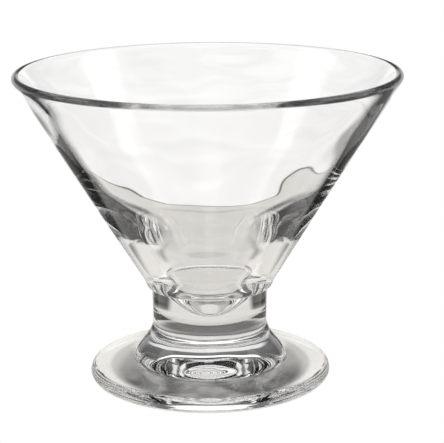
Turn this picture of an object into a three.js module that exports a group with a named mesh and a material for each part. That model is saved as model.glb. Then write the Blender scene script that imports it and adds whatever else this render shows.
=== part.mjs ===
// Ice cream glass: a wide cone-shaped bowl on a short thick stem and a round foot, all in clear glass.
// Millimetres, +Z up, the foot's resting ring on z = 0 and the glass's axis on Z.
// The bowl, the stem and the foot are formed one by one and joined hot, so each is a solid of its own,
// and they meet at two level joint faces: the waist of the stem and the collar on top of the foot.

import * as THREE from 'three';

// Whole glass
const HEIGHT = 90; // table to the top of the rim
const RIM_DIAMETER = 110; // outside of the rim

// Joint between the bowl and the stem
const WAIST_HEIGHT = 17.5; // table to the joint face, at the narrowest part
const WAIST_DIAMETER = 33; // across the joint face

// Joint between the stem and the foot
const FOOT_HEIGHT = 5.6; // table to the joint face
const COLLAR_DIAMETER = 44.8; // across the collar at the stem's lower end

// Bowl, outside
const RIM_WALL = 2.36; // wall at the rim, rounded over to a half circle
const SIDE_DIAMETER = 38.4; // across the lower end of the straight side
const SIDE_RISE = 2.8; // crease to the lower end of the straight side
const SHOULDER_ROUND = 1.8; // how far the round under the bowl leads out from the crease
const SHOULDER_BLEND = 1.9; // how far the straight side leads into that round
const CREASE_DIAMETER = 33.6; // across the sharp crease between the shoulder and the neck
const NECK_LENGTH = 9.7; // joint face to the crease

// Bowl, inside: an upper cone, a soft step where the wall thickens, a lower cone and a blunt tip in the neck
const TIP_THICKNESS = 2; // joint face to the lowest point inside
const TIP_DIAMETER = 5.4; // rounded end of the tip
const HEEL_DIAMETER = 16.2; // where the lower cone turns into the tip
const HEEL_RISE = 5.3; // lowest point to there
const HEEL_ROUND = 2; // how far that turn leads up and down
const BELLY_RISE = 24.5; // lowest point to the lower end of the step
const BELLY_WALL = 6.9; // level wall thickness there
const STEP_RISE = 18; // lower end to upper end of the step
const KNEE_WALL = 3.7; // level wall thickness at the step's upper end

// Stem
const COLLAR_BULGE = 3; // how far the collar keeps rising straight up
const WAIST_SWEEP = 5.8; // how far the waist keeps running straight down

// Foot
const FOOT_DIAMETER = 70;
const FOOT_EDGE = 4.4; // thickness at the rim of the foot, a half circle
const RESTING_RING = 11.8; // width of the flat ring that it stands on
const CENTRE_THICKNESS = 1.6; // glass between the hollow underneath and the joint face

// Fineness of the solids
const SIDES = 60; // round the axis
const STEPS = 5; // along one curve of an outline

// Turns an outline, drawn as radius and height from the axis round to the axis, into a named solid.
function turned(name, outline) {
  const geometry = new THREE.LatheGeometry(outline.getPoints(STEPS), SIDES);
  geometry.rotateX(Math.PI / 2);
  const clearGlass = new THREE.MeshStandardMaterial({
    color: 0xe9edec,
    roughness: 0.05,
    metalness: 0,
    transparent: true,
    opacity: 0.4,
  });
  const mesh = new THREE.Mesh(geometry, clearGlass);
  mesh.name = name;
  return mesh;
}

// Angle, on a circle, of the point where a line from an outside point touches it.
function touchAngle(point, centre, radius, turn) {
  const away = point.clone().sub(centre);
  return away.angle() + turn * Math.acos(radius / away.length());
}

function onCircle(centre, radius, angle) {
  return new THREE.Vector2(radius, 0).rotateAround(new THREE.Vector2(), angle).add(centre);
}

// Point at a distance from one point towards another.
function towards(from, to, distance) {
  return to.clone().sub(from).setLength(distance).add(from);
}

const waistRadius = WAIST_DIAMETER / 2;
const collarRadius = COLLAR_DIAMETER / 2;

function makeBowl() {
  const rimRound = RIM_WALL / 2;
  const rimCentre = new THREE.Vector2(RIM_DIAMETER / 2 - rimRound, HEIGHT - rimRound);

  // Straight outer side, from its lower end to where it touches the rim's round
  const crease = new THREE.Vector2(CREASE_DIAMETER / 2, WAIST_HEIGHT + NECK_LENGTH);
  const side = new THREE.Vector2(SIDE_DIAMETER / 2, crease.y + SIDE_RISE);
  const rimOuterAngle = touchAngle(side, rimCentre, rimRound, 1);
  const rimOuter = onCircle(rimCentre, rimRound, rimOuterAngle);
  const upSide = rimOuter.clone().sub(side).normalize();
  const insideWall = (height, wall) => {
    const outerRadius = side.x + ((height - side.y) * upSide.x) / upSide.y;
    return new THREE.Vector2(outerRadius - wall, height);
  };

  // Step in the inner wall, between the upper and the lower cone
  const lowest = WAIST_HEIGHT + TIP_THICKNESS;
  const belly = insideWall(lowest + BELLY_RISE, BELLY_WALL);
  const knee = insideWall(lowest + BELLY_RISE + STEP_RISE, KNEE_WALL);
  const rimInnerAngle = touchAngle(knee, rimCentre, rimRound, -1);
  const rimInner = onCircle(rimCentre, rimRound, rimInnerAngle);
  const heel = new THREE.Vector2(HEEL_DIAMETER / 2, lowest + HEEL_RISE);
  const handle = knee.distanceTo(belly) / 3;
  const belowKnee = towards(knee, rimInner, -handle);
  const aboveBelly = towards(belly, heel, -handle);

  // Tip inside the neck
  const tip = new THREE.Vector2(TIP_DIAMETER / 2, lowest);
  const aboveHeel = towards(heel, belly, HEEL_ROUND);
  const belowHeel = towards(heel, tip, HEEL_ROUND);
  const aboveTip = towards(tip, heel, tip.x);

  const outline = new THREE.Path();
  outline.moveTo(0, WAIST_HEIGHT);
  outline.lineTo(waistRadius, WAIST_HEIGHT);
  outline.quadraticCurveTo(waistRadius, WAIST_HEIGHT + NECK_LENGTH / 2, crease.x, crease.y);
  outline.bezierCurveTo(
    crease.x + SHOULDER_ROUND, crease.y,
    side.x - upSide.x * SHOULDER_BLEND, side.y - upSide.y * SHOULDER_BLEND,
    side.x, side.y,
  );
  outline.absarc(rimCentre.x, rimCentre.y, rimRound, rimOuterAngle, rimInnerAngle, false);
  outline.lineTo(knee.x, knee.y);
  outline.bezierCurveTo(belowKnee.x, belowKnee.y, aboveBelly.x, aboveBelly.y, belly.x, belly.y);
  outline.lineTo(aboveHeel.x, aboveHeel.y);
  outline.quadraticCurveTo(heel.x, heel.y, belowHeel.x, belowHeel.y);
  outline.lineTo(aboveTip.x, aboveTip.y);
  outline.quadraticCurveTo(tip.x, tip.y, 0, lowest);
  return turned('bowl', outline);
}

function makeStem() {
  const outline = new THREE.Path();
  outline.moveTo(0, FOOT_HEIGHT);
  outline.lineTo(collarRadius, FOOT_HEIGHT);
  outline.bezierCurveTo(
    collarRadius, FOOT_HEIGHT + COLLAR_BULGE,
    waistRadius, WAIST_HEIGHT - WAIST_SWEEP,
    waistRadius, WAIST_HEIGHT,
  );
  outline.lineTo(0, WAIST_HEIGHT);
  return turned('stem', outline);
}

function makeFoot() {
  const edgeRound = FOOT_EDGE / 2;
  const edgeCentre = FOOT_DIAMETER / 2 - edgeRound;

  // Shallow dome underneath, so that only the ring touches the table
  const hollowRadius = edgeCentre - RESTING_RING;
  const hollowDepth = FOOT_HEIGHT - CENTRE_THICKNESS;
  const domeRadius = (hollowRadius ** 2 + hollowDepth ** 2) / (2 * hollowDepth);
  const domeCentre = hollowDepth - domeRadius;
  const domeEdgeAngle = Math.atan2(-domeCentre, hollowRadius);

  const outline = new THREE.Path();
  outline.moveTo(0, hollowDepth);
  outline.absarc(0, domeCentre, domeRadius, Math.PI / 2, domeEdgeAngle, true);
  outline.lineTo(edgeCentre, 0);
  outline.absarc(edgeCentre, edgeRound, edgeRound, -Math.PI / 2, Math.PI / 2, false);
  outline.quadraticCurveTo((edgeCentre + collarRadius) / 2, FOOT_EDGE, collarRadius, FOOT_HEIGHT);
  outline.lineTo(0, FOOT_HEIGHT);
  return turned('foot', outline);
}

const glass = new THREE.Group();
glass.name = 'ice_cream_glass';
glass.add(makeBowl(), makeStem(), makeFoot());

export default glass;
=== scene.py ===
import math

import bpy
from mathutils import Matrix, Vector
from mathutils.geometry import interpolate_bezier


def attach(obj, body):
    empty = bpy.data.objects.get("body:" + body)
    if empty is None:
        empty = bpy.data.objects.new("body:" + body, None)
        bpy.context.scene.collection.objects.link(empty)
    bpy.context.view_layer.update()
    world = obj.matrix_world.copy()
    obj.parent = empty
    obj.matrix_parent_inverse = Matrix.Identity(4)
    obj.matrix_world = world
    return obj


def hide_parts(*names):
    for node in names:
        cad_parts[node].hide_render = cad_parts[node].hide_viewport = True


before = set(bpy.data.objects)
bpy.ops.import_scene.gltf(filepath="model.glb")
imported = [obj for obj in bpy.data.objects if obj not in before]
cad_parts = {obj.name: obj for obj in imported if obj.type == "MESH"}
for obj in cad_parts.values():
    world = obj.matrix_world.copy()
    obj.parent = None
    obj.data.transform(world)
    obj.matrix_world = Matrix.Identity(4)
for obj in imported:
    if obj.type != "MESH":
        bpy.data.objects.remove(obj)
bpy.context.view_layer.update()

# Camera
# It stands where the photograph was taken from: nearly straight in front of the glass and above its rim,
# so that the bowl shows its open mouth, with a long lens.
CAMERA_PLACE = (-0.0059234, -0.4581, 0.16459)
CAMERA_YAW = 0.0211
CAMERA_PITCH = 0.2535  # downwards
CAMERA_ROLL = 0.0072
CAMERA_LENS = 133.22  # mm
SENSOR_WIDTH = 36  # mm
NEAREST_SEEN = 0.01

bpy.ops.object.select_all(action="DESELECT")
bpy.ops.object.camera_add()
camera = bpy.context.object
camera.data.sensor_width = SENSOR_WIDTH
camera.data.lens = CAMERA_LENS
camera.data.clip_start = NEAREST_SEEN
camera.matrix_world = (
    Matrix.Translation(CAMERA_PLACE)
    @ Matrix.Rotation(-CAMERA_YAW, 4, "Z")
    @ Matrix.Rotation(math.pi / 2 - CAMERA_PITCH, 4, "X")
    @ Matrix.Rotation(-CAMERA_ROLL, 4, "Z")
)
bpy.context.scene.camera = camera

# Bowl
# A wide cone of clear glass, formed hot and fire-polished, with a rounded rim. Inside, the wall thickens
# in one soft step, and a lower cone runs down into the neck and ends in a blunt tip.
MM = 0.001
HEIGHT = 90
RIM_DIAMETER = 110
RIM_WALL = 2.36
WAIST_HEIGHT = 17.5
WAIST_DIAMETER = 33
NECK_LENGTH = 9.7
CREASE_DIAMETER = 33.6
SIDE_DIAMETER = 38.4
SIDE_RISE = 2.8
SHOULDER_ROUND = 1.8
SHOULDER_BLEND = 1.9
TIP_THICKNESS = 2
TIP_DIAMETER = 5.4
HEEL_DIAMETER = 16.2
HEEL_RISE = 5.3
HEEL_ROUND = 2
BELLY_RISE = 24.5
BELLY_WALL = 6.9
STEP_RISE = 18
KNEE_WALL = 3.7
TURN_STEPS = 256  # round the axis
SHARP_ANGLE = math.radians(30)  # edges that bend more than this stay sharp
JOIN = 1e-6  # metres, points closer than this are one


def at(radius, height):
    """A point of an outline, from millimetres off the axis and above the table."""
    return Vector((radius, 0, height)) * MM


def straight(start, end, steps):
    return [start.lerp(end, step / steps) for step in range(steps + 1)]


def curve(start, leave, arrive, end, steps):
    """A curve that leaves one point and arrives at another along two handles."""
    return list(interpolate_bezier(start, leave, arrive, end, steps + 1))


def bent(start, corner_shade, end, steps):
    """A curve drawn towards one corner between its two ends."""
    return curve(start, start.lerp(corner_shade, 2 / 3), end.lerp(corner_shade, 2 / 3), end, steps)


def towards(start, end, distance):
    return start + (end - start).normalized() * distance * MM


def on_round(centre, radius, angle):
    return centre + Vector((math.cos(angle), 0, math.sin(angle))) * radius


def rounded(centre, radius, start, end, steps):
    turn = (end - start) / steps
    return [on_round(centre, radius, start + turn * step) for step in range(steps + 1)]


def touch(point, centre, radius, turn):
    """Angle, on a round, of the place where a straight line from a point outside touches it."""
    away = point - centre
    return math.atan2(away.z, away.x) + turn * math.acos(radius / away.length)


def turned(name, outline):
    """Draws an outline from the axis round to the axis, and turns it once into a closed solid."""
    bpy.ops.object.select_all(action="DESELECT")
    bpy.ops.mesh.primitive_plane_add(size=MM)
    piece = bpy.context.object
    piece.name = name
    piece.data.name = name
    bpy.ops.object.mode_set(mode="EDIT")
    bpy.ops.mesh.select_all(action="SELECT")
    bpy.ops.mesh.merge(type="CENTER")
    bpy.ops.transform.translate(value=outline[0])
    for before, after in zip(outline, outline[1:]):
        bpy.ops.mesh.extrude_region_move(TRANSFORM_OT_translate={"value": after - before})
    bpy.ops.mesh.select_all(action="SELECT")
    bpy.ops.mesh.spin(steps=TURN_STEPS, angle=2 * math.pi, center=(0, 0, 0), axis=(0, 0, 1))
    bpy.ops.mesh.select_all(action="SELECT")
    bpy.ops.mesh.remove_doubles(threshold=JOIN)
    bpy.ops.mesh.normals_make_consistent(inside=False)
    bpy.ops.object.mode_set(mode="OBJECT")
    bpy.ops.object.shade_smooth_by_angle(angle=SHARP_ANGLE)
    return piece


def wavy(piece, size, depth, still):
    """Puts slow waves into a piece's glass, and leaves it true at the heights where it must stay so.

    Each of these heights comes with the distance over which the waves grow to their full depth.
    """
    waves = bpy.data.textures.new(piece.name + "_waves", "CLOUDS")
    waves.noise_scale = size * MM
    waves.noise_depth = 1
    group = piece.vertex_groups.new(name="wavy")
    for vertex in piece.data.vertices:
        grown = min(abs(vertex.co.z / MM - height) / growth for height, growth in still.items())
        group.add([vertex.index], min(grown, 1), "REPLACE")
    modifier = piece.modifiers.new("waves", "DISPLACE")
    modifier.texture = waves
    modifier.vertex_group = group.name
    modifier.strength = depth * MM
    bpy.ops.object.modifier_apply(modifier=modifier.name)
    piece.vertex_groups.remove(piece.vertex_groups["wavy"])


class Shade:
    """A value in a shader. Sums and products of it add the nodes that work them out."""

    def __init__(self, tree, socket=None):
        self.tree = tree
        self.socket = socket

    def node(self, kind, settings, inputs, output=0):
        made = self.tree.nodes.new(kind)
        for name, setting in settings.items():
            setattr(made, name, setting)
        for name, value in inputs.items():
            self.feed(made.inputs[name], value)
        return Shade(self.tree, made.outputs[output])

    def feed(self, socket, value):
        if isinstance(value, Shade):
            self.tree.links.new(value.socket, socket)
        else:
            socket.default_value = value

    def math(self, operation, first, second):
        return self.node("ShaderNodeMath", {"operation": operation}, {0: first, 1: second})

    def __add__(self, other):
        return self.math("ADD", self, other)

    __radd__ = __add__

    def __sub__(self, other):
        return self.math("SUBTRACT", self, other)

    def __rsub__(self, other):
        return self.math("SUBTRACT", other, self)

    def __mul__(self, other):
        return self.math("MULTIPLY", self, other)

    __rmul__ = __mul__

    def __truediv__(self, other):
        return self.math("DIVIDE", self, other)

    def __rtruediv__(self, other):
        return self.math("DIVIDE", other, self)

    def __pow__(self, other):
        return self.math("POWER", self, other)

    def __abs__(self):
        return self.math("ABSOLUTE", self, 0)


def noise(shade, place, scale, detail):
    inputs = {"Vector": place, "Scale": scale, "Detail": detail}
    return shade.node("ShaderNodeTexNoise", {}, inputs, "Fac")


def mix(shade, share, first, second):
    settings = {"data_type": "RGBA"}
    return shade.node("ShaderNodeMix", settings, {"Factor": share, "A": first, "B": second}, "Result")


GLASS_IOR = 1.52  # soda-lime glass
WARM_TINT = (0.985, 0.98, 0.97, 1)
NO_TINT = (1, 1, 1, 1)
CORD_SCALE = 45  # the faint cords of uneven glass
HANDLED_SCALE = 140
HANDLED_ROUGHNESS = 0.05


def clear_glass(name):
    """Clear fire-polished glass, very slightly warm, with faint cords and a trace of handling."""
    material = bpy.data.materials.new(name)
    material.use_nodes = True
    tree = material.node_tree
    surface = tree.nodes["Principled BSDF"].inputs
    shade = Shade(tree)
    place = shade.node("ShaderNodeTexCoord", {}, {}, "Object")
    cord = noise(shade, place, CORD_SCALE, 3)
    shade.feed(surface["Base Color"], mix(shade, cord, WARM_TINT, NO_TINT))
    handled = noise(shade, place, HANDLED_SCALE, 5)
    shade.feed(surface["Roughness"], handled ** 4 * HANDLED_ROUGHNESS)
    surface["Transmission Weight"].default_value = 1
    surface["IOR"].default_value = GLASS_IOR
    return material


def fused_face():
    """The face where two pieces were joined hot: glass meets glass there, so light goes straight on."""
    material = bpy.data.materials.new("fused_joint")
    material.use_nodes = True
    surface = material.node_tree.nodes["Principled BSDF"].inputs
    surface["Alpha"].default_value = 0
    return material


def dress(piece, glass, fused, joint_heights):
    """Gives a piece its glass, and the fused finish to the level faces at its joints."""
    piece.data.materials.append(glass)
    piece.data.materials.append(fused)
    for face in piece.data.polygons:
        for height in joint_heights:
            if all(abs(piece.data.vertices[v].co.z - height * MM) < JOIN for v in face.vertices):
                face.material_index = 1


waist = at(WAIST_DIAMETER / 2, WAIST_HEIGHT)
crease = at(CREASE_DIAMETER / 2, WAIST_HEIGHT + NECK_LENGTH)
rim_round = RIM_WALL / 2 * MM
rim_centre = at(RIM_DIAMETER / 2, HEIGHT) - Vector((rim_round, 0, rim_round))
side = at(SIDE_DIAMETER / 2, WAIST_HEIGHT + NECK_LENGTH + SIDE_RISE)
rim_outer_angle = touch(side, rim_centre, rim_round, 1)
rim_outer = on_round(rim_centre, rim_round, rim_outer_angle)
up_side = (rim_outer - side).normalized()


def inside_wall(height, wall):
    """The point of the inner wall at a height, from the level thickness of the glass there."""
    outer = side + up_side * ((height * MM - side.z) / up_side.z)
    return outer - Vector((wall * MM, 0, 0))


lowest = WAIST_HEIGHT + TIP_THICKNESS
belly = inside_wall(lowest + BELLY_RISE, BELLY_WALL)
knee = inside_wall(lowest + BELLY_RISE + STEP_RISE, KNEE_WALL)
rim_inner_angle = touch(knee, rim_centre, rim_round, -1) % (2 * math.pi)
rim_inner = on_round(rim_centre, rim_round, rim_inner_angle)
heel = at(HEEL_DIAMETER / 2, lowest + HEEL_RISE)
tip = at(TIP_DIAMETER / 2, lowest)
above_heel = towards(heel, belly, HEEL_ROUND)
below_heel = towards(heel, tip, HEEL_ROUND)
above_tip = towards(tip, heel, TIP_DIAMETER / 2)
handle = (knee - belly).length / 3
below_knee = knee + (knee - rim_inner).normalized() * handle
above_belly = belly + (belly - heel).normalized() * handle

BOWL_WAVE_SIZE = 24
BOWL_WAVE_DEPTH = 0.32
NECK_STILL = 36  # the waves grow slowly from the waist up
RIM_STILL = 4

bowl = turned(
    "ice_cream_bowl",
    [at(0, WAIST_HEIGHT)]
    + bent(waist, at(WAIST_DIAMETER / 2, WAIST_HEIGHT + NECK_LENGTH / 2), crease, steps=20)
    + curve(
        crease,
        crease + Vector((SHOULDER_ROUND * MM, 0, 0)),
        side - up_side * SHOULDER_BLEND * MM,
        side,
        steps=16,
    )
    + straight(side, rim_outer, steps=60)
    + rounded(rim_centre, rim_round, rim_outer_angle, rim_inner_angle, steps=24)
    + straight(rim_inner, knee, steps=30)
    + curve(knee, below_knee, above_belly, belly, steps=40)
    + straight(belly, above_heel, steps=24)
    + bent(above_heel, heel, below_heel, steps=16)
    + straight(below_heel, above_tip, steps=8)
    + bent(above_tip, tip, at(0, lowest), steps=16),
)
wavy(bowl, BOWL_WAVE_SIZE, BOWL_WAVE_DEPTH, {WAIST_HEIGHT: NECK_STILL, HEIGHT: RIM_STILL})
fused = fused_face()
dress(bowl, clear_glass("bowl_clear_glass"), fused, [WAIST_HEIGHT])
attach(bowl, "root")
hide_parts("bowl")

# Stem
# A short solid block of glass, narrow at the waist and spread into a collar at its lower end. It is
# joined hot to the bowl's neck above and to the foot below.
FOOT_HEIGHT = 5.6
COLLAR_DIAMETER = 44.8
COLLAR_BULGE = 3
WAIST_SWEEP = 5.8
STEM_WAVE_SIZE = 10
STEM_WAVE_DEPTH = 0.35
JOINT_STILL = 4

collar_edge = at(COLLAR_DIAMETER / 2, FOOT_HEIGHT)
stem = turned(
    "ice_cream_stem",
    [at(0, FOOT_HEIGHT)]
    + curve(
        collar_edge,
        collar_edge + Vector((0, 0, COLLAR_BULGE * MM)),
        waist - Vector((0, 0, WAIST_SWEEP * MM)),
        waist,
        steps=48,
    )
    + [at(0, WAIST_HEIGHT)],
)
wavy(stem, STEM_WAVE_SIZE, STEM_WAVE_DEPTH, {FOOT_HEIGHT: JOINT_STILL, WAIST_HEIGHT: JOINT_STILL})
dress(stem, clear_glass("stem_clear_glass"), fused, [FOOT_HEIGHT, WAIST_HEIGHT])
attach(stem, "root")
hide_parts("stem")

# Foot
# A disc of glass with a half-round edge. It stands on a flat ring, and a shallow hollow within the ring
# keeps the middle off the table.
FOOT_DIAMETER = 70
FOOT_EDGE = 4.4
RESTING_RING = 11.8
CENTRE_THICKNESS = 1.6
FOOT_WAVE_SIZE = 10
FOOT_WAVE_DEPTH = 0.25
RING_HEIGHT = 0
RING_STILL = 4

edge_round = FOOT_EDGE / 2
edge_centre = FOOT_DIAMETER / 2 - edge_round
hollow_radius = edge_centre - RESTING_RING
hollow_depth = FOOT_HEIGHT - CENTRE_THICKNESS
dome_radius = (hollow_radius ** 2 + hollow_depth ** 2) / (2 * hollow_depth)
dome_centre = hollow_depth - dome_radius
dome_edge_angle = math.atan2(-dome_centre, hollow_radius)
foot = turned(
    "ice_cream_foot",
    rounded(at(0, dome_centre), dome_radius * MM, math.pi / 2, dome_edge_angle, steps=32)
    + rounded(at(edge_centre, edge_round), edge_round * MM, -math.pi / 2, math.pi / 2, steps=32)
    + bent(
        at(edge_centre, FOOT_EDGE),
        at((edge_centre + COLLAR_DIAMETER / 2) / 2, FOOT_EDGE),
        collar_edge,
        steps=20,
    )
    + [at(0, FOOT_HEIGHT)],
)
wavy(foot, FOOT_WAVE_SIZE, FOOT_WAVE_DEPTH, {RING_HEIGHT: RING_STILL, FOOT_HEIGHT: JOINT_STILL})
dress(foot, clear_glass("foot_clear_glass"), fused, [FOOT_HEIGHT])
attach(foot, "root")
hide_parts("foot")

# Floor
# A plain table that glows white wherever the camera sees it. Seen through the glass it has tones of its own,
# set by the photograph: a square sheet darkened by painted shade that ends a hand's breadth away, a paler
# backdrop, a soft band of painted shade across the sheet, two dark corners of painted shade behind, and
# painted shade and painted gathered light under the foot. Places are in millimetres from the glass's axis.
FLOOR_SIZE = 40  # metres
FLOOR_DROP = -0.0002  # metres, just under the resting ring
WHITE = (1, 1, 1, 1)

# The sheet is darker than the backdrop by painted shade.
SHADED_SHEET_TONE = (0.78, 0.765, 0.73, 1)
BACKDROP_TONE = (1.05, 1.05, 1.045, 1)
SHEET_EDGE = 130
EDGE_BLEND = (SHEET_EDGE, SHEET_EDGE + 4)
EDGE_LINE = (0, 2.2)
EDGE_DARK = 0.95

SHADE_BAND_PLACE = 104  # a soft band of painted shade across the sheet, behind the glass
SHADE_BAND_WIDTH = (2, 6)
SHADE_BAND_SPREAD = (15, 35)
SHADE_BAND_DARK = 0.16

# Painted shade: two dark corners on the table behind the glass.
CORNER_SLANT = (0.42, 0.6)  # from beside the glass to the way across the sheet's corners
CORNER_START = (56, 82)
CORNER_FADE = (115, 150)
CORNER_END = (230, 270)
CORNER_BACK = (8, 30)
CORNER_DARK = 0.95
CORNER_FAR_DARK = 0.7

UNDER_START = (6, 9)  # the shade under the foot, deepest in front
UNDER_END = (24, 28)
UNDER_LEAN = 0.18
UNDER_BACK = (-15, 4)
UNDER_DARK = 0.8
UNDER_BACK_SHARE = 0.38
STREAK_SCALE = 110
STREAK_SPREAD = (0.35, 0.6)
STREAK_LEAST = 0.78
STREAK_MOST = 1.06

STEM_SHADE_PLACE = 14  # behind the axis
STEM_SHADE_EDGE = (5.4, 10.35)
STEM_SHADE_DARK = 0.74

GATHERED_START = (28, 30)  # the light that the foot's edge gathers on either side
GATHERED_END = (35, 40)
GATHERED_SIDES = (12, 24)
GATHERED_LIGHT = 0.45

CLOUD_SCALE = 22
CLOUD_LEAST = 0.84
CLOUD_SPAN = 0.3


def ease(shade, value, between, low, high):
    """Goes softly from one value to another between two places."""
    start, end = between
    settings = {"interpolation_type": "SMOOTHSTEP"}
    inputs = {"Value": value, "From Min": start, "From Max": end, "To Min": low, "To Max": high}
    return shade.node("ShaderNodeMapRange", settings, inputs)


def part_of(shade, vector, axis):
    return shade.node("ShaderNodeSeparateXYZ", {}, {"Vector": vector}, axis)


def times(shade, vector, scale):
    inputs = {0: vector, "Scale": scale}
    return shade.node("ShaderNodeVectorMath", {"operation": "SCALE"}, inputs)


bpy.ops.object.select_all(action="DESELECT")
bpy.ops.mesh.primitive_plane_add(size=FLOOR_SIZE, location=(0, 0, FLOOR_DROP))
table = bpy.context.object
table.name = "studio_floor"
bpy.ops.object.transform_apply(location=True, rotation=True, scale=True)
white = bpy.data.materials.new("studio_floor")
white.use_nodes = True
tone = Shade(white.node_tree)
on_table = tone.node("ShaderNodeTexCoord", {}, {}, "Object")
in_mm = times(tone, on_table, 1 / MM)
away = tone.node("ShaderNodeVectorMath", {"operation": "LENGTH"}, {0: in_mm}, "Value")
across = abs(part_of(tone, in_mm, "X"))
back = part_of(tone, in_mm, "Y")
along = abs(back)
outwards = tone.math("MAXIMUM", across, along)
inwards = tone.math("MINIMUM", across, along)

# Painted shade darkens the sheet against the paler backdrop.
ground = mix(tone, ease(tone, outwards, EDGE_BLEND, 0, 1), SHADED_SHEET_TONE, BACKDROP_TONE)
edge = ease(tone, abs(outwards - SHEET_EDGE), EDGE_LINE, EDGE_DARK, 0)
# A soft band of painted shade across the sheet, behind the glass.
shade_band = ease(tone, abs(back - SHADE_BAND_PLACE), SHADE_BAND_WIDTH, SHADE_BAND_DARK, 0) * ease(tone, across, SHADE_BAND_SPREAD, 1, 0)

# The two dark corners of painted shade behind the glass.
corner_shade = ease(tone, inwards / outwards, CORNER_SLANT, 0, 1) * ease(tone, away, CORNER_START, 0, 1)
corner_shade = corner_shade * ease(tone, away, CORNER_FADE, CORNER_DARK, CORNER_FAR_DARK)
corner_shade = corner_shade * ease(tone, away, CORNER_END, 1, 0) * ease(tone, back, CORNER_BACK, 0, 1)

under = ease(tone, away, UNDER_START, 0, UNDER_DARK) * ease(tone, away + back * UNDER_LEAN, UNDER_END, 1, 0)
under = under * ease(tone, back, UNDER_BACK, 1, UNDER_BACK_SHARE)
under = under * ease(tone, noise(tone, on_table, STREAK_SCALE, 4), STREAK_SPREAD, STREAK_LEAST, STREAK_MOST)

off_shade = tone.node(
    "ShaderNodeVectorMath", {"operation": "DISTANCE"}, {0: in_mm, 1: (0, STEM_SHADE_PLACE, 0)}, "Value"
)
stem_shade = ease(tone, off_shade, STEM_SHADE_EDGE, STEM_SHADE_DARK, 0)

gathered = ease(tone, away, GATHERED_START, 0, GATHERED_LIGHT) * ease(tone, away, GATHERED_END, 1, 0)
gathered = gathered * ease(tone, across, GATHERED_SIDES, 0, 1)

cloud = CLOUD_LEAST + noise(tone, on_table, CLOUD_SCALE, 3) * CLOUD_SPAN
shaded = (1 - edge) * (1 - shade_band) * (1 - corner_shade) * (1 - under) * (1 - stem_shade)
dimmed = times(tone, ground, shaded * (1 + gathered) * cloud)
seen = tone.node("ShaderNodeLightPath", {}, {}, "Is Camera Ray")
glow = tone.node("ShaderNodeEmission", {}, {"Color": mix(tone, seen, dimmed, WHITE)})
tone.feed(white.node_tree.nodes["Material Output"].inputs["Surface"], glow)
table.data.materials.append(white)

# Light
# One soft light hangs overhead. The studio round it is dark at the corners and grey behind, and a low glow
# and a strip light stand behind the glass and, narrower, on its other sides, so that it has dark edges.
OVERHEAD_FROM = (0.9, 0.94)  # heights are 0 at the horizon and 1 straight up
BACK_REACH = (0.55, 0.75)
OTHER_REACH = (0.965, 0.99)
FRONT_SHARE = 0.5
GLOW_TOP = (0.12, 0.2)
GLOW_LIGHT = 0.7
GLOW_OTHER_SHARE = 0.4
STRIP_BOTTOM = (0.5, 0.54)
STRIP_TOP = (0.7, 0.82)
STRIP_LIGHT = 1.3
STUDIO_DARK = 0.012
STUDIO_BACK_GREY = 0.2
LEAST_LEVEL = 0.001  # keeps the direction straight up from dividing by nothing
LIGHT_BOUNCES = 32

studio = bpy.data.worlds.new("studio")
studio.use_nodes = True
bpy.context.scene.world = studio
air = Shade(studio.node_tree)
looking = air.node("ShaderNodeTexCoord", {}, {}, "Generated")
sideways = abs(part_of(air, looking, "X"))
backwards = part_of(air, looking, "Y")
upwards = air.math("MAXIMUM", part_of(air, looking, "Z"), 0)
behind = air.math("MAXIMUM", backwards, 0)
level = (1 - upwards * upwards + LEAST_LEVEL) ** 0.5
overhead = ease(air, upwards, OVERHEAD_FROM, 0, 1)
at_back = ease(air, behind, BACK_REACH, 0, 1)
at_sides = ease(air, sideways / level, OTHER_REACH, 0, 1)
in_front = ease(air, (0 - backwards) / level, OTHER_REACH, 0, FRONT_SHARE)
all_round = air.math("MAXIMUM", at_back, at_sides + in_front)
glow_round = air.math("MAXIMUM", at_back, all_round * GLOW_OTHER_SHARE)
low_glow = ease(air, upwards, GLOW_TOP, GLOW_LIGHT, 0) * glow_round
strip = ease(air, upwards, STRIP_BOTTOM, 0, STRIP_LIGHT) * ease(air, upwards, STRIP_TOP, 1, 0) * all_round
dark = STUDIO_DARK + behind ** 2 * STUDIO_BACK_GREY
air.feed(studio.node_tree.nodes["Background"].inputs["Color"], dark + overhead + low_glow + strip)

scene = bpy.context.scene
scene.view_settings.view_transform = "Standard"
scene.cycles.max_bounces = LIGHT_BOUNCES
scene.cycles.transmission_bounces = LIGHT_BOUNCES
scene.cycles.glossy_bounces = LIGHT_BOUNCES
scene.cycles.transparent_max_bounces = LIGHT_BOUNCES
scene.cycles.use_denoising = True
